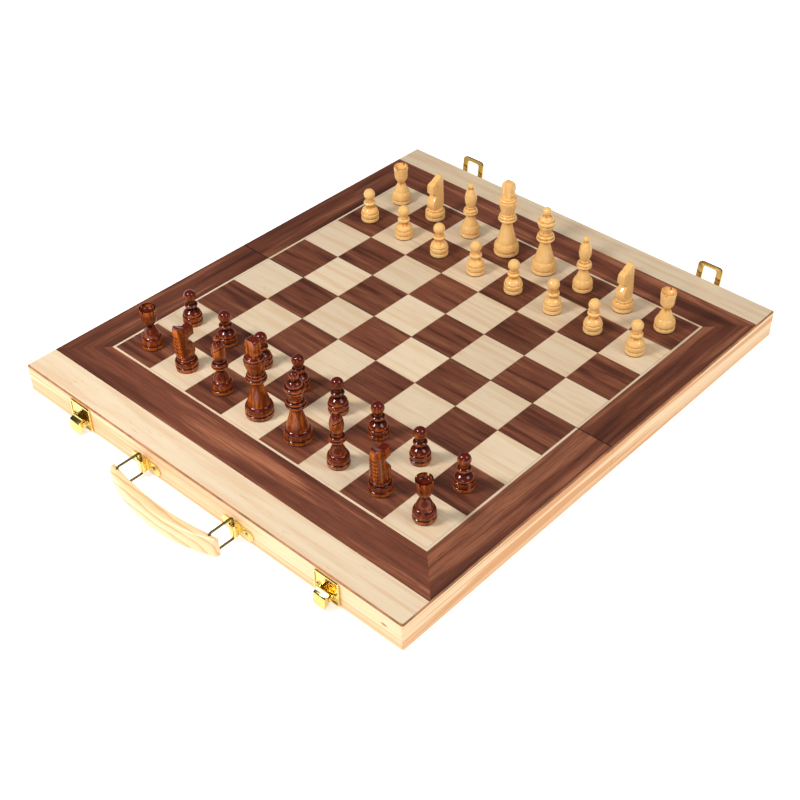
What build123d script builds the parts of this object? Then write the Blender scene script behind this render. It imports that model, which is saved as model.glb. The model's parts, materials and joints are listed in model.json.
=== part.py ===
from build123d import *
import math
import os

# A folding chess case, opened flat with its playing surface up, and its thirty-two men.
# Frame: origin in the middle of the seam, in the plane of the rims that the open case rests on.
# +X runs along the seam, the handle is on the -Y side, +Z is up. Millimetres.

# Board
SQUARE = 44.0
STRINGING = 2.0
BORDER = 34.0
END_STRIP = 28.5
VENEER = 0.6
GLUE_GAP = 0.06

# Case halves
HALF_DEPTH = 26.0
RAIL = 12.0
SEAM_GAP = 0.15
CORNER_R = 2.0
RIM_ROUND = 0.8
EDGE_BEVEL = 1.2
TONGUE = 3.2
TONGUE_INSET = 4.0
FELT = 0.8
FIT_GAP = 0.1

# Fold hinges
HINGE_X = 120.0
HINGE_LENGTH = 30.0
HINGE_AXIS_Z = -0.1
KNUCKLE_R = 1.3
HINGE_PIN_R = 0.6
LEAF = 0.9
LEAF_HEIGHT = 12.0
HINGE_SCREW_X = 10.0
HINGE_SCREW_Z = 7.0

# Latches, measured outwards from the face of the rail
LATCH_X = 140.0
LATCH_LOW, LATCH_HIGH = 1.0, 24.0
LATCH_SCREW_X, LATCH_SCREW_Z = 9.0, 10.0
PLATE_W = 25.0
PLATE_T = 1.0
PLATE_RIM = 0.6
PLATE_R = 2.5
PLATE_FIELD_R = 1.2
PLATE_BORDER = 1.5
LEVER_W = 12.0
LEVER_PIVOT = (3.2, 8.0)
LEVER_PIN_R = 0.7
LEVER_SHEET = 0.8
LEVER_BARREL_R = 1.9
EAR_GAP = 0.15
EAR_T = 0.7
EAR_R = 2.2
LOOP_PLATE_LOW, LOOP_PLATE_HIGH = 1.5, 21.5
LOOP_SCREW_Z = 5.5
LOOP_W = 25.0
LOOP_REACH = 27.0
LOOP_T = 1.6
LOOP_EYE_W = 14.0
LOOP_BAR = 3.4
LOOP_AXIS = (2.8, 11.5)
LOOP_PIN_R = 1.1
LOOP_CORNER_R = 4.0
LOOP_EYE_R = 2.5
BARREL_WALL = 0.9
BARREL_HALF = 5.0
LOOP_LEAN = {"left": 6.5, "right": 9.5}

# Handle
HANDLE_X = -7.0
BAIL_SPAN = 106.0
BAIL_INNER = 4.5
BAIL_REACH = 22.0
WIRE_R = 1.0
ARM_LOW = 1.4
ARM_HIGH = 22.2
GRIP_LOW = 2.7
GRIP_HIGH = 20.9
GRIP_END = 6.5
GRIP_THICK = 11.0
GRIP_INNER_ROUND = 1.0
GRIP_OUTER_ROUND = 3.8
GRIP_BORE_GAP = 0.25
BEND_R = 1.8
WIRE_GAP = 0.3
BRACKET_LENGTH = 34.0
BRACKET_WIDTH = 10.5
BRACKET_SCREW_X, BRACKET_SCREW_Z = 10.5, 8.5
BRIDGE_LOW, BRIDGE_HIGH = 3.6, 15.6
BRIDGE_R = 1.6

# Fits and screws
RUNNING = 0.05
SHANK_R = 0.9
DRILL = 6.0
SHANK = 8.0
HEAD_R = 2.0
HEAD_H = 0.85
SLOT_HALF = 0.25
SLOT_DEEP = 0.5

# Men
FELT_PAD = 0.6
PAD_R = {"rook": 8.9, "knight": 9.2, "bishop": 8.9, "queen": 11.2, "king": 11.3, "pawn": 8.3}
BACK_ROW = ("rook", "knight", "bishop", "king", "queen", "bishop", "knight", "rook")
NOTCH = 1.2
SLIT = 0.8
BLOCK_HALF = 3.4
EYE_R = 0.6

# Worked out from the above
FIELD = 4 * SQUARE
HALF_X = FIELD + STRINGING + BORDER
HALF_Y = HALF_X + END_STRIP
TOP = HALF_DEPTH
RAIL_TOP = TOP - EDGE_BEVEL
VENEER_LOW = TOP - VENEER
BAIL_Y = -(HALF_Y + BAIL_INNER)
GRIP_Y = BAIL_Y - BAIL_REACH
SIDES = (("left", -1), ("right", 1))


def block(x0, x1, y0, y1, z0, z1):
    """A box between two corners."""
    return Pos((x0 + x1) / 2, (y0 + y1) / 2, (z0 + z1) / 2) * Box(x1 - x0, y1 - y0, z1 - z0)


def prism(points, z0, z1):
    """A straight-sided prism over an outline in X and Y."""
    face = make_face(Polyline(*points, close=True))
    return Pos(0, 0, z0) * extrude(face, z1 - z0)


def bar_x(y, z, radius, x0, x1):
    """A round bar along X."""
    return Pos((x0 + x1) / 2, y, z) * Rot(0, 90, 0) * Cylinder(radius, x1 - x0)


def side_profile(points, width):
    """A sheet outline given as (outwards, up) from the -Y face, made width wide about X = 0."""
    plane = Plane(origin=(-width / 2, -HALF_Y, 0), x_dir=(0, -1, 0), z_dir=(-1, 0, 0))
    face = plane * make_face(Polyline(*points, close=True))
    return extrude(face, width, dir=(1, 0, 0))


def near(shape):
    """The same shape on the other side of the seam."""
    return mirror(shape, about=Plane.XZ)


def whole(shapes):
    """Separate solids kept together as one sub-part."""
    return Compound(children=[solid for shape in shapes for solid in shape.solids()])


# ---------------------------------------------------------------- case halves

def outline(inset, z0, z1, radius):
    """The outline of the half on the +Y side, with its two outer corners rounded."""
    x, y = HALF_X - inset, HALF_Y - inset
    low = SEAM_GAP
    body = block(-x, x, low, y, z0, z1)
    corners = body.edges().filter_by(Axis.Z).sort_by(Axis.Y)[-2:]
    return fillet(corners, radius)


def rail_body():
    """Outer form of all four rails of a half, before they are mitred apart."""
    body = outline(0, 0, RAIL_TOP, CORNER_R)
    under = [e for e in body.faces().sort_by(Axis.Z)[0].edges() if e.center().Y > 2 * SEAM_GAP]
    body = fillet(under, RIM_ROUND)
    inside = block(-HALF_X + RAIL, HALF_X - RAIL, RAIL, HALF_Y - RAIL, -1, TOP)
    x, y = HALF_X - TONGUE_INSET, HALF_Y - TONGUE_INSET
    rebate = block(-x, x, TONGUE_INSET, y, RAIL_TOP - TONGUE, TOP)
    return body - inside - rebate


def rails():
    """Outer, side and hinge rails of the +Y half, mitred at the corners."""
    body = rail_body()
    x, y, r = HALF_X, HALF_Y, RAIL
    outer = [(-x, y), (x, y), (x - r, y - r), (r - x, y - r)]
    hinge = [(-x, 0), (x, 0), (x - r, r), (r - x, r)]
    side = [(x, y), (x, 0), (x - r, r), (x - r, y - r)]
    right = body & prism(side, -1, TOP)
    left = mirror(right, about=Plane.YZ)
    return body & prism(outer, -1, TOP), [left, right], body & prism(hinge, -1, TOP)


def panel():
    """Core board of a half: a flange over the rails with a bevelled edge, and a tongue between them."""
    flange = outline(0, RAIL_TOP, TOP, CORNER_R)
    rim = [e for e in flange.faces().sort_by(Axis.Z)[-1].edges() if e.center().Y > 2 * SEAM_GAP]
    flange = chamfer(rim, EDGE_BEVEL - 0.01)
    x, y = HALF_X - TONGUE_INSET - FIT_GAP, HALF_Y - TONGUE_INSET - FIT_GAP
    tongue = block(-x, x, TONGUE_INSET + FIT_GAP, y, RAIL_TOP - TONGUE, RAIL_TOP)
    return flange + tongue - outline(EDGE_BEVEL, VENEER_LOW, TOP + 1, CORNER_R)


def square(column, row):
    """One veneer square; column and row count from the -X and -Y corner of the field."""
    x = -FIELD + column * SQUARE
    y = -FIELD + row * SQUARE
    low = SEAM_GAP if row == 4 else y + GLUE_GAP / 2
    high = -SEAM_GAP if row == 3 else y + SQUARE - GLUE_GAP / 2
    return block(x + GLUE_GAP / 2, x + SQUARE - GLUE_GAP / 2, low, high, VENEER_LOW, TOP)


def squares(rows, dark):
    """The dark or the light squares of some rows; the -X, -Y corner square is dark."""
    return [square(c, r) for r in rows for c in range(8) if ((c + r) % 2 == 0) == dark]


def border_strips():
    """Three walnut strips round the +Y half of the field, mitred at the corners."""
    i = FIELD + STRINGING + GLUE_GAP / 2
    x, y, cut = HALF_X - EDGE_BEVEL, HALF_X - GLUE_GAP / 2, GLUE_GAP / 2
    across = [(-i, i), (i, i), (x, x), (x, y), (-x, y), (-x, x)]
    along = [(i, SEAM_GAP), (x, SEAM_GAP), (x, x - cut), (i, i - cut)]
    right = prism(along, VENEER_LOW, TOP)
    return [prism(across, VENEER_LOW, TOP), right, mirror(right, about=Plane.YZ)]


def stringing_and_strip():
    """The thin light line round the field and the maple strip at the end of the +Y half."""
    i, o = FIELD, FIELD + STRINGING
    line = block(-o, o, SEAM_GAP, o, VENEER_LOW, TOP) - block(-i, i, -1, i, 0, TOP + 1)
    sheet = outline(EDGE_BEVEL, VENEER_LOW, TOP, CORNER_R)
    strip = sheet & block(-HALF_X, HALF_X, HALF_X, HALF_Y, 0, TOP + 1)
    return [line, strip]


def lining():
    """Felt glued under the core board, between the rails."""
    x, y = HALF_X - RAIL - FIT_GAP, HALF_Y - RAIL - FIT_GAP
    top = RAIL_TOP - TONGUE
    return block(-x, x, RAIL + FIT_GAP, y, top - FELT, top)


# ---------------------------------------------------------------- fold hinges

def knuckle(x0, x1, bore):
    """One tube of a hinge about the fold axis."""
    return bar_x(0, HINGE_AXIS_Z, KNUCKLE_R, x0, x1) - bar_x(0, HINGE_AXIS_Z, bore, x0 - 1, x1 + 1)


def hinge_leaf(centre, middle):
    """A leaf let into the seam face of the +Y half, with either its middle or its two outer knuckles."""
    half, third = HINGE_LENGTH / 2, HINGE_LENGTH / 6
    own = [(-third, third)] if middle else [(-half, -third), (third, half)]
    others = [(-half, -third), (third, half)] if middle else [(-third, third)]
    bore = HINGE_PIN_R + (RUNNING if middle else 0)
    leaf = block(-half, half, SEAM_GAP, SEAM_GAP + LEAF, HINGE_AXIS_Z, LEAF_HEIGHT)
    leaf -= bar_x(0, HINGE_AXIS_Z, KNUCKLE_R, -half - 1, half + 1)
    for x0, x1 in others:
        leaf -= block(x0 - FIT_GAP, x1 + FIT_GAP, 0, 2, -2, KNUCKLE_R + 2 * FIT_GAP)
    for x0, x1 in own:
        leaf += knuckle(x0 + FIT_GAP / 2, x1 - FIT_GAP / 2, bore)
    for x in (-HINGE_SCREW_X, HINGE_SCREW_X):
        leaf -= Pos(x, 0, HINGE_SCREW_Z) * Rot(90, 0, 0) * Cylinder(HEAD_R, 4)
    return Pos(centre, 0, 0) * leaf


def hinge_recess():
    """What is cut from the seam face of the +Y half for its two leaves and their knuckles."""
    half = HINGE_LENGTH / 2 + FIT_GAP
    cuts = []
    for x in (-HINGE_X, HINGE_X):
        cuts.append(block(x - half, x + half, -1, SEAM_GAP + LEAF, -1, LEAF_HEIGHT + FIT_GAP))
        cuts.append(bar_x(0, HINGE_AXIS_Z, KNUCKLE_R + 2 * FIT_GAP, x - half, x + half))
    return cuts


def hinge_screw(x):
    """A flat-headed screw through a hinge leaf of the +Y half."""
    head = Pos(x, SEAM_GAP + LEAF / 2, HINGE_SCREW_Z) * Rot(90, 0, 0) * Cylinder(HEAD_R, LEAF)
    low, high = HINGE_SCREW_Z - SLOT_HALF, HINGE_SCREW_Z + SLOT_HALF
    head -= block(x - HEAD_R, x + HEAD_R, -1, SEAM_GAP + SLOT_DEEP, low, high)
    return head + shank(x, SEAM_GAP + LEAF, HINGE_SCREW_Z, 1)


def shank(x, y, z, way):
    """A screw's shank that enters wood at y and runs along Y."""
    return Pos(x, y + way * SHANK / 2, z) * Rot(90, 0, 0) * Cylinder(SHANK_R, SHANK)


def face_screw(x, z, out):
    """A round-headed screw through a plate on the outer face of the -Y half."""
    y = -(HALF_Y + out)
    upright = (Align.CENTER, Align.CENTER, Align.MIN)
    dome = Pos(x, y, z) * Rot(90, 0, 0) * Cone(HEAD_R, HEAD_R * 0.6, HEAD_H, align=upright)
    slot = block(x - HEAD_R, x + HEAD_R, y - HEAD_H - 1, y - HEAD_H + SLOT_DEEP, z - SLOT_HALF, z + SLOT_HALF)
    return dome - slot + shank(x, y, z, 1)


def hinge_screw_places():
    return [c + d for c in (-HINGE_X, HINGE_X) for d in (-HINGE_SCREW_X, HINGE_SCREW_X)]


# ---------------------------------------------------------------- latches

def plate(low, high):
    """A stamped plate on the -Y face with rounded corners and a raised rim."""
    z, height = (low + high) / 2, high - low
    turn = Pos(0, -HALF_Y, z) * Rot(90, 0, 0)
    sheet = RectangleRounded(PLATE_W, height, PLATE_R)
    inner = RectangleRounded(PLATE_W - 2 * PLATE_BORDER, height - 2 * PLATE_BORDER, PLATE_FIELD_R)
    return turn * extrude(sheet, PLATE_T) + turn * extrude(sheet - inner, PLATE_T + PLATE_RIM)


def latch_plate():
    """Catch plate with two ears for the lever's pin, and holes for its screws."""
    out, up = LEVER_PIVOT
    ear_in, ear_out = LEVER_W / 2 + EAR_GAP, LEVER_W / 2 + EAR_GAP + EAR_T
    low, high, root = up - EAR_R, up + EAR_R, PLATE_T / 2
    ear = side_profile([(root, low), (out, low), (out, high), (root, high)], 2 * ear_out)
    ear += bar_x(-(HALF_Y + out), up, EAR_R, -ear_out, ear_out)
    ear -= block(-ear_in, ear_in, -HALF_Y - 9, -HALF_Y - PLATE_T, 0, 20)
    ear -= bar_x(-(HALF_Y + out), up, LEVER_PIN_R, -9, 9)
    body = plate(LATCH_LOW, LATCH_HIGH) + ear
    for x in (-LATCH_SCREW_X, LATCH_SCREW_X):
        body -= Pos(x, -HALF_Y, LATCH_SCREW_Z) * Rot(90, 0, 0) * Cylinder(SHANK_R, DRILL)
    return body


def latch_pin():
    out, up = LEVER_PIVOT
    reach = LEVER_W / 2 + EAR_GAP + EAR_T
    return bar_x(-(HALF_Y + out), up, LEVER_PIN_R, -reach, reach)


def latch_lever():
    """Bent lever: a lip that holds the loop's bar, a roof, a finger flap and two cheeks."""
    out, up = LEVER_PIVOT
    sheet = [(2.2, 9.6), (3.0, 11.3), (4.1, 11.8), (4.1, 13.6), (5.0, 13.8), (5.2, 12.2), (8.2, 11.1),
             (9.0, 10.3), (9.9, 0.5), (8.9, 0.4), (8.0, 9.6), (7.6, 10.2), (4.6, 11.0), (3.6, 9.6)]
    cheek = [(9.6, 0.6), (3.2, 6.1), (1.9, 9.3), (3.0, 11.2), (5.2, 11.9), (8.6, 10.6)]
    half, inner = LEVER_W / 2, LEVER_W / 2 - LEVER_SHEET
    cheeks = side_profile(cheek, LEVER_W) - block(-inner, inner, -HALF_Y - 12, -HALF_Y, 0, 20)
    body = side_profile(sheet, LEVER_W) + cheeks + bar_x(-(HALF_Y + out), up, LEVER_BARREL_R, -half, half)
    return body - bar_x(-(HALF_Y + out), up, LEVER_PIN_R + RUNNING, -9, 9)


def loop_plate():
    """Plate on the -Y face, before it is mirrored across, with the knuckle that the loop turns in."""
    out, up = LOOP_AXIS
    wall = LOOP_PIN_R + BARREL_WALL
    low, high, root = up - wall, up + wall, PLATE_T / 2
    barrel = bar_x(-(HALF_Y + out), up, wall, -BARREL_HALF, BARREL_HALF)
    web = side_profile([(root, low), (out, low), (out, high), (root, high)], 2 * BARREL_HALF)
    body = plate(LOOP_PLATE_LOW, LOOP_PLATE_HIGH) + barrel + web
    body -= bar_x(-(HALF_Y + out), up, LOOP_PIN_R + RUNNING, -9, 9)
    for x in (-LATCH_SCREW_X, LATCH_SCREW_X):
        body -= Pos(x, -HALF_Y, LOOP_SCREW_Z) * Rot(90, 0, 0) * Cylinder(SHANK_R, DRILL)
    return body


def latch_loop(lean):
    """Stamped frame that turns in the knuckle, swung up and leaning outwards."""
    out, up = LOOP_AXIS
    height = LOOP_REACH + LOOP_PIN_R
    middle = up + (LOOP_REACH - LOOP_PIN_R) / 2
    turn = Pos(0, -(HALF_Y + out - LOOP_T / 2), middle) * Rot(90, 0, 0)
    frame = turn * extrude(RectangleRounded(LOOP_W, height, LOOP_CORNER_R), LOOP_T)
    eye_low, eye_high = up + LOOP_PIN_R + 1.5, up + LOOP_REACH - LOOP_BAR
    eye = Pos(0, -(HALF_Y + out + 3), (eye_low + eye_high) / 2) * Rot(-90, 0, 0)
    frame -= eye * extrude(RectangleRounded(LOOP_EYE_W, eye_high - eye_low, LOOP_EYE_R), 6)
    frame -= block(-LOOP_EYE_W / 2, LOOP_EYE_W / 2, -HALF_Y - 9, -HALF_Y, up - 4, up + LOOP_PIN_R + 3)
    frame += bar_x(-(HALF_Y + out), up, LOOP_PIN_R, -LOOP_EYE_W / 2 - 2, LOOP_EYE_W / 2 + 2)
    return frame.rotate(Axis((0, -(HALF_Y + out), up), (1, 0, 0)), lean)


# ---------------------------------------------------------------- handle

def bracket(x):
    """Lobed plate with a bored bridge that the wire bail turns in."""
    lobes = SlotOverall(BRACKET_LENGTH, BRACKET_WIDTH) + Ellipse(9, 6.5)
    body = Pos(x, -HALF_Y, BRACKET_SCREW_Z) * Rot(90, 0, 0) * extrude(lobes, PLATE_T)
    height = BRIDGE_HIGH - BRIDGE_LOW
    bridge = Pos(x, BAIL_Y, BRIDGE_LOW + height / 2) * Box(6.4, 4.6, height)
    bridge = fillet(bridge.edges().filter_by(Axis.Z), BRIDGE_R)
    web = block(x - 2.6, x + 2.6, BAIL_Y + 1, -HALF_Y - PLATE_T / 2, BRIDGE_LOW, BRIDGE_HIGH)
    body = body + bridge + web
    body -= Pos(x, BAIL_Y, TOP / 2) * Cylinder(WIRE_R + RUNNING, 2 * TOP)
    for screw_x in (x - BRACKET_SCREW_X, x + BRACKET_SCREW_X):
        body -= Pos(screw_x, -HALF_Y, BRACKET_SCREW_Z) * Rot(90, 0, 0) * Cylinder(SHANK_R, DRILL)
    return body


def bail(x):
    """Bent wire with one leg in the bracket and one through the grip; its ends meet in the bracket."""
    meet = (BRIDGE_LOW + BRIDGE_HIGH) / 2
    route = [(x, BAIL_Y, meet + WIRE_GAP), (x, BAIL_Y, ARM_HIGH), (x, GRIP_Y, ARM_HIGH),
             (x, GRIP_Y, ARM_LOW), (x, BAIL_Y, ARM_LOW), (x, BAIL_Y, meet - WIRE_GAP)]
    path = FilletPolyline(*route, radius=BEND_R)
    section = Plane(origin=path @ 0, z_dir=path % 0) * Circle(WIRE_R)
    return sweep(section, path=path)


def grip():
    """Wooden grip, bowed outwards, with a hole for a bail near each end."""
    half = BAIL_SPAN / 2 + GRIP_END
    inner = ThreePointArc((-half, GRIP_Y + 2.6), (0, GRIP_Y - 3.6), (half, GRIP_Y + 2.6))
    outer = ThreePointArc((-half, GRIP_Y - 2.9), (0, GRIP_Y - 3.6 - GRIP_THICK), (half, GRIP_Y - 2.9))
    ends = [Line((s * half, GRIP_Y + 2.6), (s * half, GRIP_Y - 2.9)) for s in (-1, 1)]
    body = Pos(HANDLE_X, 0, GRIP_LOW) * extrude(make_face([inner, outer, *ends]), GRIP_HIGH - GRIP_LOW)
    arcs = [e for e in body.edges() if e.length > BAIL_SPAN]
    inner_arcs = [e for e in arcs if e.bounding_box().max.Y > GRIP_Y]
    body = fillet(inner_arcs, GRIP_INNER_ROUND)
    outer_arcs = [e for e in body.edges() if e.length > BAIL_SPAN and e.bounding_box().max.Y < GRIP_Y - 2]
    body = fillet(outer_arcs, GRIP_OUTER_ROUND)
    for side in (-1, 1):
        bore = Cylinder(WIRE_R + GRIP_BORE_GAP, 2 * TOP)
        body -= Pos(HANDLE_X + side * BAIL_SPAN / 2, GRIP_Y, TOP / 2) * bore
    return body


# ---------------------------------------------------------------- men

def turned(points):
    """A man turned about Z from an outline of (radius, height) points."""
    outline_points = [(0, points[0][1])] + points
    if points[-1][0] > 0:
        outline_points.append((0, points[-1][1]))
    face = make_face(Plane.XZ * Polyline(*outline_points, close=True))
    return revolve(face, Axis.Z)


def ball(radius, height):
    return Pos(0, 0, height) * Sphere(radius)


def foot(r):
    """Outline of a ringed base of radius r: plinth, groove and the start of the ring above."""
    return [(r - 0.3, FELT_PAD), (r, 1.2), (r, 3.6), (r - 0.7, 4.2), (r - 0.7, 4.8), (r - 0.1, 5.4)]


def bell(r):
    """Outline of a foot whose upper ring is a broad bulge with a step above it."""
    return foot(r) + [(r, 7.2), (r - 0.6, 9.4), (r - 1.5, 11.6), (r - 2.2, 12.4)]


def pawn():
    body = foot(8.6) + [(8.6, 8.6), (7.9, 9.2), (7.9, 9.8), (7.3, 11.4), (6.2, 13.0), (4.2, 14.5), (3.6, 15.8),
                        (4.6, 17.0), (5.8, 18.8), (5.8, 19.8), (4.6, 21.0), (3.8, 21.6), (3.6, 24.0)]
    return turned(body) + ball(5.5, 27.7)


def rook():
    body = bell(9.3) + [(6.5, 13.6), (5.9, 15.4), (4.6, 18.4), (3.5, 20.8), (3.5, 21.8), (4.9, 24.2), (6.0, 26.2),
                        (6.4, 28.8), (6.7, 34.0), (6.8, 39.2), (5.6, 39.2), (4.6, 35.4), (0, 34.4)]
    shape = turned(body)
    for turn in (15, 105):
        shape -= Pos(0, 0, 38.2) * Rot(0, 0, turn) * Box(20, NOTCH, 4)
    return shape


def bishop():
    body = bell(9.3) + [(6.7, 13.6), (5.4, 16.2), (4.2, 18.8), (3.7, 20.4), (3.7, 22.4), (5.0, 23.6), (6.8, 24.6),
                        (7.0, 25.8), (6.3, 26.6), (6.5, 27.6), (5.8, 28.8), (4.4, 29.8), (4.4, 31.0), (4.1, 31.6),
                        (5.0, 34.2), (5.7, 37.6), (5.7, 41.2), (5.1, 44.4), (4.2, 47.0), (2.8, 49.4), (2.2, 50.0)]
    shape = turned(body) + ball(2.8, 52.5)
    slit = Pos(4.6, 0, 44.6) * Rot(0, -38, 0) * Box(9, 12, SLIT)
    return shape - slit


def queen():
    body = bell(11.7) + [(8.9, 13.4), (7.9, 17.6), (6.5, 22.4), (5.2, 27.0), (4.6, 31.0), (5.6, 32.4), (8.2, 33.8),
                         (8.5, 35.4), (7.3, 36.6), (7.7, 38.2), (6.4, 39.8), (5.6, 41.8), (5.8, 44.2), (7.2, 46.8),
                         (7.2, 48.6), (8.3, 50.6), (8.6, 52.0), (7.4, 53.6), (6.2, 55.8), (4.2, 57.8), (3.0, 58.8)]
    return turned(body) + ball(4.1, 62.2)


def king():
    body = bell(11.8) + [(9.0, 13.4), (8.3, 17.0), (7.2, 21.0), (5.6, 26.4), (4.8, 31.4), (4.8, 33.4), (6.4, 34.6),
                         (8.8, 36.0), (8.9, 37.6), (7.8, 38.6), (8.1, 39.8), (7.0, 41.2), (6.9, 42.4), (6.4, 43.6),
                         (7.4, 47.6), (8.6, 52.2), (8.9, 55.0), (8.4, 57.6), (6.6, 59.6)]
    block_outline = [(-4.4, 59.2), (4.4, 59.2), (5.7, 63.4), (4.6, 65.8), (5.8, 68.4), (5.3, 71.8), (3.4, 74.4),
                     (-3.4, 74.4), (-5.3, 71.8), (-5.8, 68.4), (-4.6, 65.8), (-5.7, 63.4)]
    cross = extrude(Plane.XZ * make_face(Polyline(*block_outline, close=True)), BLOCK_HALF, both=True)
    return turned(body) + cross


# Side outlines of the carved muzzle, as (forwards, up) from the brow to the chest
MUZZLES = {
    "dark": [(9.0, 42.6), (9.4, 32.4), (5.4, 31.8), (1.8, 30.4), (3.6, 27.6), (7.8, 23.4), (8.6, 20.4), (6.9, 14.4)],
    "white": [(7.6, 38.2), (7.8, 29.0), (5.2, 28.4), (3.0, 26.4), (4.2, 23.8), (7.6, 20.4), (8.6, 17.4), (6.9, 13.6)],
}


def knight(colour):
    """Turned foot with a carved head that looks along +Y; the dark heads are held higher."""
    base = turned(foot(9.7) + [(9.6, 8.0), (8.9, 9.6), (8.0, 10.6), (7.2, 11.0)])
    back = [(-6.6, 10), (-8.2, 16), (-8.3, 27), (-7.9, 41), (-6.2, 44.6), (-3.6, 43.4), (-1.0, 41.4)]
    side = back + MUZZLES[colour] + [(5.4, 10)]
    front = [(-5.6, 9.5), (5.6, 9.5), (4.9, 20), (3.3, 32), (3.0, 46), (-3.0, 46), (-3.3, 32), (-4.9, 20)]
    flat = extrude(Plane.YZ * make_face(Polyline(*side, close=True)), 8, both=True)
    taper = extrude(Plane.XZ * make_face(Polyline(*front, close=True)), 12, both=True)
    head = flat & taper
    for step in range(6):
        z = 16.0 + 4.2 * step
        head -= Pos(0, -8.9, z) * Rot(45, 0, 0) * Box(12, 1.3, 1.3)
    head -= Pos(0, 2.2, 36.0) * Rot(0, 90, 0) * Cylinder(EYE_R, 12) - block(-2.2, 2.2, 0, 5, 33, 39)
    head -= Pos(0, -6.4, 45.4) * Box(1.2, 6, 5)
    return base + head


MAKERS = {"rook": rook, "bishop": bishop, "queen": queen, "king": king, "pawn": pawn}


def men_of(colour, back_row, pawn_row, facing):
    """Every man of one colour by name, standing on its square with its felt pad under it."""
    men, seen = {}, {}
    for row, kinds in ((back_row, BACK_ROW), (pawn_row, ("pawn",) * 8)):
        for column, kind in enumerate(kinds):
            seen[kind] = seen.get(kind, 0) + 1
            single = kind in ("king", "queen")
            name = f"{colour}_{kind}" if single else f"{colour}_{kind}_{seen[kind]}"
            place = Pos((column - 3.5) * SQUARE, (row - 3.5) * SQUARE, TOP) * Rot(0, 0, facing)
            pad = Pos(0, 0, FELT_PAD / 2) * Cylinder(PAD_R[kind], FELT_PAD)
            man = knight(colour) if kind == "knight" else MAKERS[kind]()
            men[name] = whole([place * man, place * pad])
    return men


# ---------------------------------------------------------------- everything, by node name

def near_screws():
    """Screws of the handle half: hinges, latch plates and handle brackets."""
    screws = [near(hinge_screw(x)) for x in hinge_screw_places()]
    for _, side in SIDES:
        for x in (-LATCH_SCREW_X, LATCH_SCREW_X):
            screws.append(face_screw(side * LATCH_X + x, LATCH_SCREW_Z, PLATE_T))
        for x in (-BRACKET_SCREW_X, BRACKET_SCREW_X):
            screws.append(face_screw(HANDLE_X + side * BAIL_SPAN / 2 + x, BRACKET_SCREW_Z, PLATE_T))
    return screws


def far_screws():
    screws = [hinge_screw(x) for x in hinge_screw_places()]
    for _, side in SIDES:
        for x in (-LATCH_SCREW_X, LATCH_SCREW_X):
            screws.append(near(face_screw(side * LATCH_X + x, LOOP_SCREW_Z, PLATE_T)))
    return screws


def drilled(shape, screws):
    for screw in screws:
        shape = shape - screw
    return shape


def case_half(name, flip, rows, screws):
    """The wooden pieces of one half; flip puts them on its side of the seam."""
    outer, sides, hinge = rails()
    for cut in hinge_recess():
        hinge = hinge - cut
    outer_name = "handle" if name == "near" else "latch"
    return {
        f"{name}_{outer_name}_rail": drilled(flip(outer), screws),
        f"{name}_side_rails": whole([flip(s) for s in sides]),
        f"{name}_hinge_rail": drilled(flip(hinge), screws),
        f"{name}_panel": flip(panel()),
        f"{name}_walnut_veneer": whole(squares(rows, True) + [flip(s) for s in border_strips()]),
        f"{name}_maple_veneer": whole(squares(rows, False) + [flip(s) for s in stringing_and_strip()]),
        f"{name}_felt_lining": flip(lining()),
    }


def hardware():
    """Hinges, latches and handle."""
    half = HINGE_LENGTH / 2
    pins = [bar_x(0, HINGE_AXIS_Z, HINGE_PIN_R, s * HINGE_X - half, s * HINGE_X + half) for _, s in SIDES]
    catches = [Pos(s * LATCH_X, 0, 0) * piece for _, s in SIDES for piece in (latch_plate(), latch_pin())]
    left, right = HANDLE_X - BAIL_SPAN / 2, HANDLE_X + BAIL_SPAN / 2
    nodes = {
        "near_hinge_leaves_and_pins": whole([near(hinge_leaf(s * HINGE_X, False)) for _, s in SIDES] + pins),
        "far_hinge_leaves": whole([hinge_leaf(s * HINGE_X, True) for _, s in SIDES]),
        "latch_plates_and_pins": whole(catches),
        "loop_plates": whole([near(Pos(s * LATCH_X, 0, 0) * loop_plate()) for _, s in SIDES]),
        "handle_brackets": whole([bracket(left), bracket(right)]),
        "handle_grip": grip(),
        "left_handle_bail": bail(left),
        "right_handle_bail": bail(right),
    }
    for side, s in SIDES:
        nodes[f"{side}_latch_lever"] = Pos(s * LATCH_X, 0, 0) * latch_lever()
        nodes[f"{side}_latch_loop"] = near(Pos(s * LATCH_X, 0, 0) * latch_loop(LOOP_LEAN[side]))
    return nodes


def main():
    os.makedirs("parts", exist_ok=True)
    near_set, far_set = near_screws(), far_screws()
    nodes = case_half("near", near, range(4), near_set)
    nodes |= case_half("far", lambda shape: shape, range(4, 8), far_set)
    nodes |= hardware()
    nodes |= {"near_screws": whole(near_set), "far_screws": whole(far_set)}
    nodes |= men_of("dark", 0, 1, 0)
    nodes |= men_of("white", 7, 6, 180)
    for name, shape in nodes.items():
        export_step(shape, f"parts/{name}.step")
    print(len(nodes), "nodes written")


main()
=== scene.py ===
"""A folding chess case opened flat, with its thirty-two turned men, finished and lit."""

import json
import math

import bmesh
import bpy
from bpy.props import FloatProperty, FloatVectorProperty, PointerProperty
from mathutils import Matrix, Vector


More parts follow.
